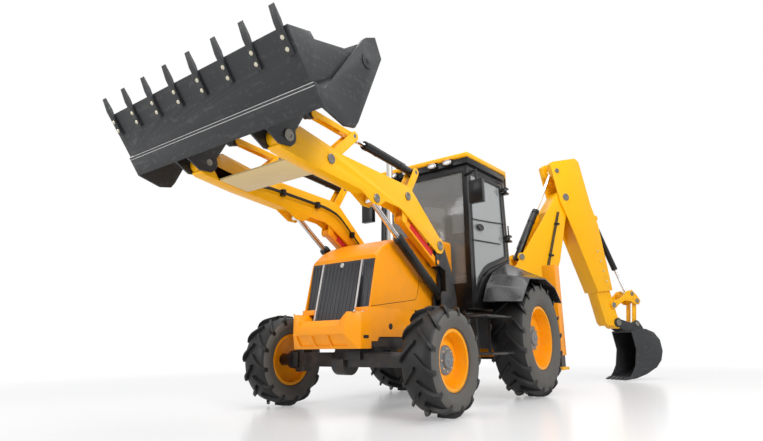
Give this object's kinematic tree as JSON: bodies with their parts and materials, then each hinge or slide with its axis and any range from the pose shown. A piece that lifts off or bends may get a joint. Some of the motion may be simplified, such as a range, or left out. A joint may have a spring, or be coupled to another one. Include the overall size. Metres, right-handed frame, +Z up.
{
  "type": "backhoe loader",
  "caption": "Four-wheel loader and excavator on one chassis, with a raised front bucket that opens and a rear digging arm slewed to one side.",
  "frame": {"origin": "on the ground, on the centre plane, under the rear axle", "axes": "+X forward towards the loader bucket, +Y to the machine's left, +Z up"},
  "size_m": [8.3357, 2.938, 3.7054],
  "materials": {
    "yellow_paint": "satin two-pack enamel, lightly weathered",
    "dark_paint": "satin dark grey enamel",
    "bucket_paint": "worn charcoal enamel",
    "rim_paint": "gloss enamel",
    "tyre": "matt black rubber, grey sidewalls",
    "grille": "textured moulding",
    "fender": "polished moulding",
    "glass": "grey tint",
    "seat": "woven seat cloth",
    "chrome": "polished",
    "engine": "painted casting",
    "pin_steel": "machined"
  },
  "bodies": {
    "chassis": {"chassis_frame": "dark_paint", "bumper": "yellow_paint", "hood": "yellow_paint", "grille": "grille", "engine": "engine", "front_axle": "dark_paint", "rear_axle": "dark_paint", "rear_frame": "yellow_paint", "fenders": "fender", "steps": "dark_paint", "cab_frame": "dark_paint", "cab_roof": "yellow_paint", "cab_glass": "glass", "operator_seat": "seat", "exhaust": "chrome"},
    "knuckle_left": {"knuckle_left": "dark_paint"},
    "knuckle_right": {"knuckle_right": "dark_paint"},
    "front_left_wheel": {"front_left_tyre": "tyre", "front_left_rim": "rim_paint"},
    "front_right_wheel": {"front_right_tyre": "tyre", "front_right_rim": "rim_paint"},
    "rear_left_wheel": {"rear_left_tyre": "tyre", "rear_left_rim": "rim_paint"},
    "rear_right_wheel": {"rear_right_tyre": "tyre", "rear_right_rim": "rim_paint"},
    "stabiliser_left": {"stabiliser_left": "dark_paint"},
    "stabiliser_right": {"stabiliser_right": "dark_paint"},
    "door_left": {"door_left": "dark_paint", "door_left_glass": "glass"},
    "door_right": {"door_right": "dark_paint", "door_right_glass": "glass"},
    "loader_arms": {"loader_arms": "yellow_paint"},
    "levelling_levers": {"levelling_levers": "yellow_paint"},
    "levelling_links": {"levelling_links": "yellow_paint"},
    "tilt_pins": {"tilt_pins": "pin_steel"},
    "tilt_barrels": {"tilt_barrels": "dark_paint"},
    "tilt_rods": {"tilt_rods": "chrome"},
    "crank_pins": {"crank_pins": "pin_steel"},
    "bell_cranks": {"bell_cranks": "yellow_paint"},
    "crank_top_pins": {"crank_top_pins": "pin_steel"},
    "bucket_links": {"bucket_links": "yellow_paint"},
    "bucket_pins": {"bucket_pins": "pin_steel"},
    "loader_bucket": {"loader_bucket": "bucket_paint"},
    "clam": {"clam": "bucket_paint"},
    "lift_barrels": {"lift_barrels": "dark_paint"},
    "lift_rods": {"lift_rods": "chrome"},
    "slew_carriage": {"slew_carriage": "dark_paint"},
    "kingpost": {"kingpost": "yellow_paint"},
    "boom": {"boom": "yellow_paint"},
    "dipper": {"dipper": "yellow_paint"},
    "dipper_extension": {"dipper_extension": "yellow_paint"},
    "hoe_bucket": {"hoe_bucket": "bucket_paint"},
    "tipping_lever": {"tipping_lever": "yellow_paint"},
    "tipping_link": {"tipping_link": "yellow_paint"},
    "boom_ram_barrel": {"boom_ram_barrel": "dark_paint"},
    "boom_ram_rod": {"boom_ram_rod": "chrome"},
    "dipper_ram_barrel": {"dipper_ram_barrel": "dark_paint"},
    "dipper_ram_rod": {"dipper_ram_rod": "chrome"},
    "bucket_ram_barrel": {"bucket_ram_barrel": "dark_paint"},
    "bucket_ram_rod": {"bucket_ram_rod": "chrome"}
  },
  "joints": [
    {"name": "front_left_roll", "type": "hinge", "parent": "knuckle_left", "child": "front_left_wheel", "pos_m": [2.17, 0.995, 0.478], "axis": [0, 1, 0], "continuous": true},
    {"name": "front_right_roll", "type": "hinge", "parent": "knuckle_right", "child": "front_right_wheel", "pos_m": [2.17, -0.995, 0.478], "axis": [0, 1, 0], "continuous": true},
    {"name": "rear_left_roll", "type": "hinge", "parent": "chassis", "child": "rear_left_wheel", "pos_m": [0, 0.928, 0.675], "axis": [0, 1, 0], "continuous": true},
    {"name": "rear_right_roll", "type": "hinge", "parent": "chassis", "child": "rear_right_wheel", "pos_m": [0, -0.928, 0.675], "axis": [0, 1, 0], "continuous": true},
    {"name": "steer_left", "type": "hinge", "parent": "chassis", "child": "knuckle_left", "pos_m": [2.17, 0.76, 0.478], "axis": [0, 0, 1], "range_deg": [-33, 33]},
    {"name": "steer_right", "type": "hinge", "parent": "chassis", "child": "knuckle_right", "pos_m": [2.17, -0.76, 0.478], "axis": [0, 0, 1], "range_deg": [-33, 33]},
    {"name": "door_left_swing", "type": "hinge", "parent": "chassis", "child": "door_left", "pos_m": [-0.112, 0.726, 2], "axis": [0, 0, 1], "range_deg": [0, 80]},
    {"name": "door_right_swing", "type": "hinge", "parent": "chassis", "child": "door_right", "pos_m": [-0.112, -0.726, 2], "axis": [0, 0, -1], "range_deg": [0, 80]},
    {"name": "stabiliser_left_drop", "type": "slide", "parent": "chassis", "child": "stabiliser_left", "axis": [0, 0, -1], "range_m": [0, 0.55]},
    {"name": "stabiliser_right_drop", "type": "slide", "parent": "chassis", "child": "stabiliser_right", "axis": [0, 0, -1], "range_m": [0, 0.55]},
    {"name": "lift", "type": "hinge", "parent": "chassis", "child": "loader_arms", "pos_m": [1.395, 0, 1.657], "axis": [0, -1, 0], "range_deg": [-50, 34]},
    {"name": "lever_tilt", "type": "hinge", "parent": "loader_arms", "child": "levelling_levers", "pos_m": [2, 0, 2.083], "axis": [0, -1, 0], "range_deg": [-27.4, 40.2]},
    {"name": "link_tilt", "type": "hinge", "parent": "chassis", "child": "levelling_links", "pos_m": [1.415, 0, 1.477], "axis": [0, -1, 0], "range_deg": [-50.7, 34.6]},
    {"name": "tilt_pin_turn", "type": "hinge", "parent": "levelling_levers", "child": "tilt_pins", "pos_m": [1.8, 0, 2.395], "axis": [0, -1, 0], "range_deg": [-38.2, 26.1]},
    {"name": "crowd", "type": "hinge", "parent": "bucket_pins", "child": "loader_bucket", "pos_m": [3.672, 0, 2.201], "axis": [0, -1, 0], "range_deg": [-98, 3]},
    {"name": "tilt_barrel_turn", "type": "hinge", "parent": "tilt_pins", "child": "tilt_barrels", "pos_m": [1.8, 0, 2.395], "axis": [0, -1, 0], "range_deg": [-3, 0.3]},
    {"name": "tilt_stroke", "type": "slide", "parent": "tilt_barrels", "child": "tilt_rods", "axis": [0.9968, 0, 0.0803], "range_m": [-0.0235, 0.7033]},
    {"name": "crank_pin_turn", "type": "hinge", "parent": "loader_arms", "child": "crank_pins", "pos_m": [3.158, 0, 2.159], "axis": [0, -1, 0], "range_deg": [-27.4, 40.2]},
    {"name": "crank_turn", "type": "hinge", "parent": "crank_pins", "child": "bell_cranks", "pos_m": [3.158, 0, 2.159], "axis": [0, -1, 0], "range_deg": [-98.2, 3.2]},
    {"name": "crank_top_turn", "type": "hinge", "parent": "bell_cranks", "child": "crank_top_pins", "pos_m": [2.818, 0, 2.477], "axis": [0, -1, 0], "range_deg": [-3.2, 98.2]},
    {"name": "bucket_link_turn", "type": "hinge", "parent": "crank_top_pins", "child": "bucket_links", "pos_m": [2.818, 0, 2.477], "axis": [0, -1, 0], "range_deg": [-40.2, 27.4]},
    {"name": "bucket_pin_turn", "type": "hinge", "parent": "loader_arms", "child": "bucket_pins", "pos_m": [3.672, 0, 2.201], "axis": [0, -1, 0], "range_deg": [-27.4, 40.2]},
    {"name": "clam_open", "type": "hinge", "parent": "loader_bucket", "child": "clam", "pos_m": [3.428, 0, 2.734], "axis": [0, -1, 0], "range_deg": [0, 80]},
    {"name": "lift_barrel_turn", "type": "hinge", "parent": "chassis", "child": "lift_barrels", "pos_m": [1.32, 0, 1.112], "axis": [0, -1, 0], "range_deg": [-39, 26.6]},
    {"name": "lift_stroke", "type": "slide", "parent": "lift_barrels", "child": "lift_rods", "axis": [0.8211, 0, 0.5708], "range_m": [-0.3685, 0.2512]},
    {"name": "carriage_shift", "type": "slide", "parent": "chassis", "child": "slew_carriage", "axis": [0, 1, 0], "range_m": [-0.52, 0.52]},
    {"name": "slew", "type": "hinge", "parent": "slew_carriage", "child": "kingpost", "pos_m": [-1.3, 0, 0.66], "axis": [0, 0, -1], "range_deg": [-121, 59]},
    {"name": "boom_lift", "type": "hinge", "parent": "kingpost", "child": "boom", "pos_m": [-1.51429, 0.12876, 0.65], "axis": [0.515, 0.8572, 0], "range_deg": [-100, 15]},
    {"name": "dipper_swing", "type": "hinge", "parent": "boom", "child": "dipper", "pos_m": [-2.45632, 0.69479, 2.988], "axis": [-0.515, -0.8572, 0], "range_deg": [-90, 22]},
    {"name": "dipper_reach", "type": "slide", "parent": "dipper", "child": "dipper_extension", "axis": [-0.2146, 0.129, -0.9681], "range_m": [0, 1.2]},
    {"name": "hoe_curl", "type": "hinge", "parent": "dipper_extension", "child": "hoe_bucket", "pos_m": [-3.21406, 1.15008, 0.925], "axis": [-0.515, -0.8572, 0], "range_deg": [-75, 100]},
    {"name": "tipping_lever_turn", "type": "hinge", "parent": "dipper_extension", "child": "tipping_lever", "pos_m": [-3.16005, 1.11763, 1.214], "axis": [-0.515, -0.8572, 0], "range_deg": [-57.2, 76.2]},
    {"name": "tipping_link_turn", "type": "hinge", "parent": "tipping_lever", "child": "tipping_link", "pos_m": [-3.61435, 1.3906, 1.29], "axis": [-0.515, -0.8572, 0], "range_deg": [-65.2, 49]},
    {"name": "boom_ram_turn", "type": "hinge", "parent": "kingpost", "child": "boom_ram_barrel", "pos_m": [-1.71144, 0.24722, 0.42], "axis": [0.515, 0.8572, 0], "range_deg": [-112.3, 17]},
    {"name": "boom_ram_stroke", "type": "slide", "parent": "boom_ram_barrel", "child": "boom_ram_rod", "axis": [-0.3157, 0.1897, 0.9297], "range_m": [-0.4383, 0.0674]},
    {"name": "dipper_ram_turn", "type": "hinge", "parent": "boom", "child": "dipper_ram_barrel", "pos_m": [-1.63258, 0.19984, 1.934], "axis": [-0.515, -0.8572, 0], "range_deg": [-3.8, 1.1]},
    {"name": "dipper_ram_stroke", "type": "slide", "parent": "dipper_ram_barrel", "child": "dipper_ram_rod", "axis": [-0.4123, 0.2477, 0.8767], "range_m": [-0.6303, 0.1556]},
    {"name": "bucket_ram_turn", "type": "hinge", "parent": "dipper_extension", "child": "bucket_ram_barrel", "pos_m": [-3.02291, 1.03523, 2.69], "axis": [-0.515, -0.8572, 0], "range_deg": [-3.2, 4.2]},
    {"name": "bucket_ram_stroke", "type": "slide", "parent": "bucket_ram_barrel", "child": "bucket_ram_rod", "axis": [-0.359, 0.2157, -0.908], "range_m": [-0.3554, 0.4732]}
  ],
  "couplings": [
    {"joint": "steer_right", "follows": "steer_left", "ratio": 1},
    {"joint": "lever_tilt", "follows": "lift", "ratio": -0.8},
    {"joint": "link_tilt", "follows": "lift", "ratio": 1.01},
    {"joint": "tilt_pin_turn", "follows": "lift", "ratio": 0.76},
    {"joint": "tilt_barrel_turn", "follows": "crowd", "ratio": 0.028},
    {"joint": "tilt_stroke", "follows": "crowd", "m_per_rad": -0.41},
    {"joint": "crank_pin_turn", "follows": "lift", "ratio": -0.8},
    {"joint": "crank_turn", "follows": "crowd", "ratio": 1},
    {"joint": "crank_top_turn", "follows": "crowd", "ratio": -1},
    {"joint": "bucket_link_turn", "follows": "lift", "ratio": 0.8},
    {"joint": "bucket_pin_turn", "follows": "lift", "ratio": -0.8},
    {"joint": "lift_barrel_turn", "follows": "lift", "ratio": 0.775},
    {"joint": "lift_stroke", "follows": "lift", "m_per_rad": 0.42},
    {"joint": "tipping_lever_turn", "follows": "hoe_curl", "ratio": 0.76},
    {"joint": "tipping_link_turn", "follows": "hoe_curl", "ratio": -0.65},
    {"joint": "boom_ram_turn", "follows": "boom_lift", "ratio": 1.12},
    {"joint": "boom_ram_stroke", "follows": "boom_lift", "m_per_rad": 0.25},
    {"joint": "dipper_ram_turn", "follows": "dipper_swing", "ratio": 0.04},
    {"joint": "dipper_ram_stroke", "follows": "dipper_swing", "m_per_rad": 0.4},
    {"joint": "bucket_ram_turn", "follows": "hoe_curl", "ratio": 0.04},
    {"joint": "bucket_ram_stroke", "follows": "hoe_curl", "m_per_rad": 0.27}
  ]
}
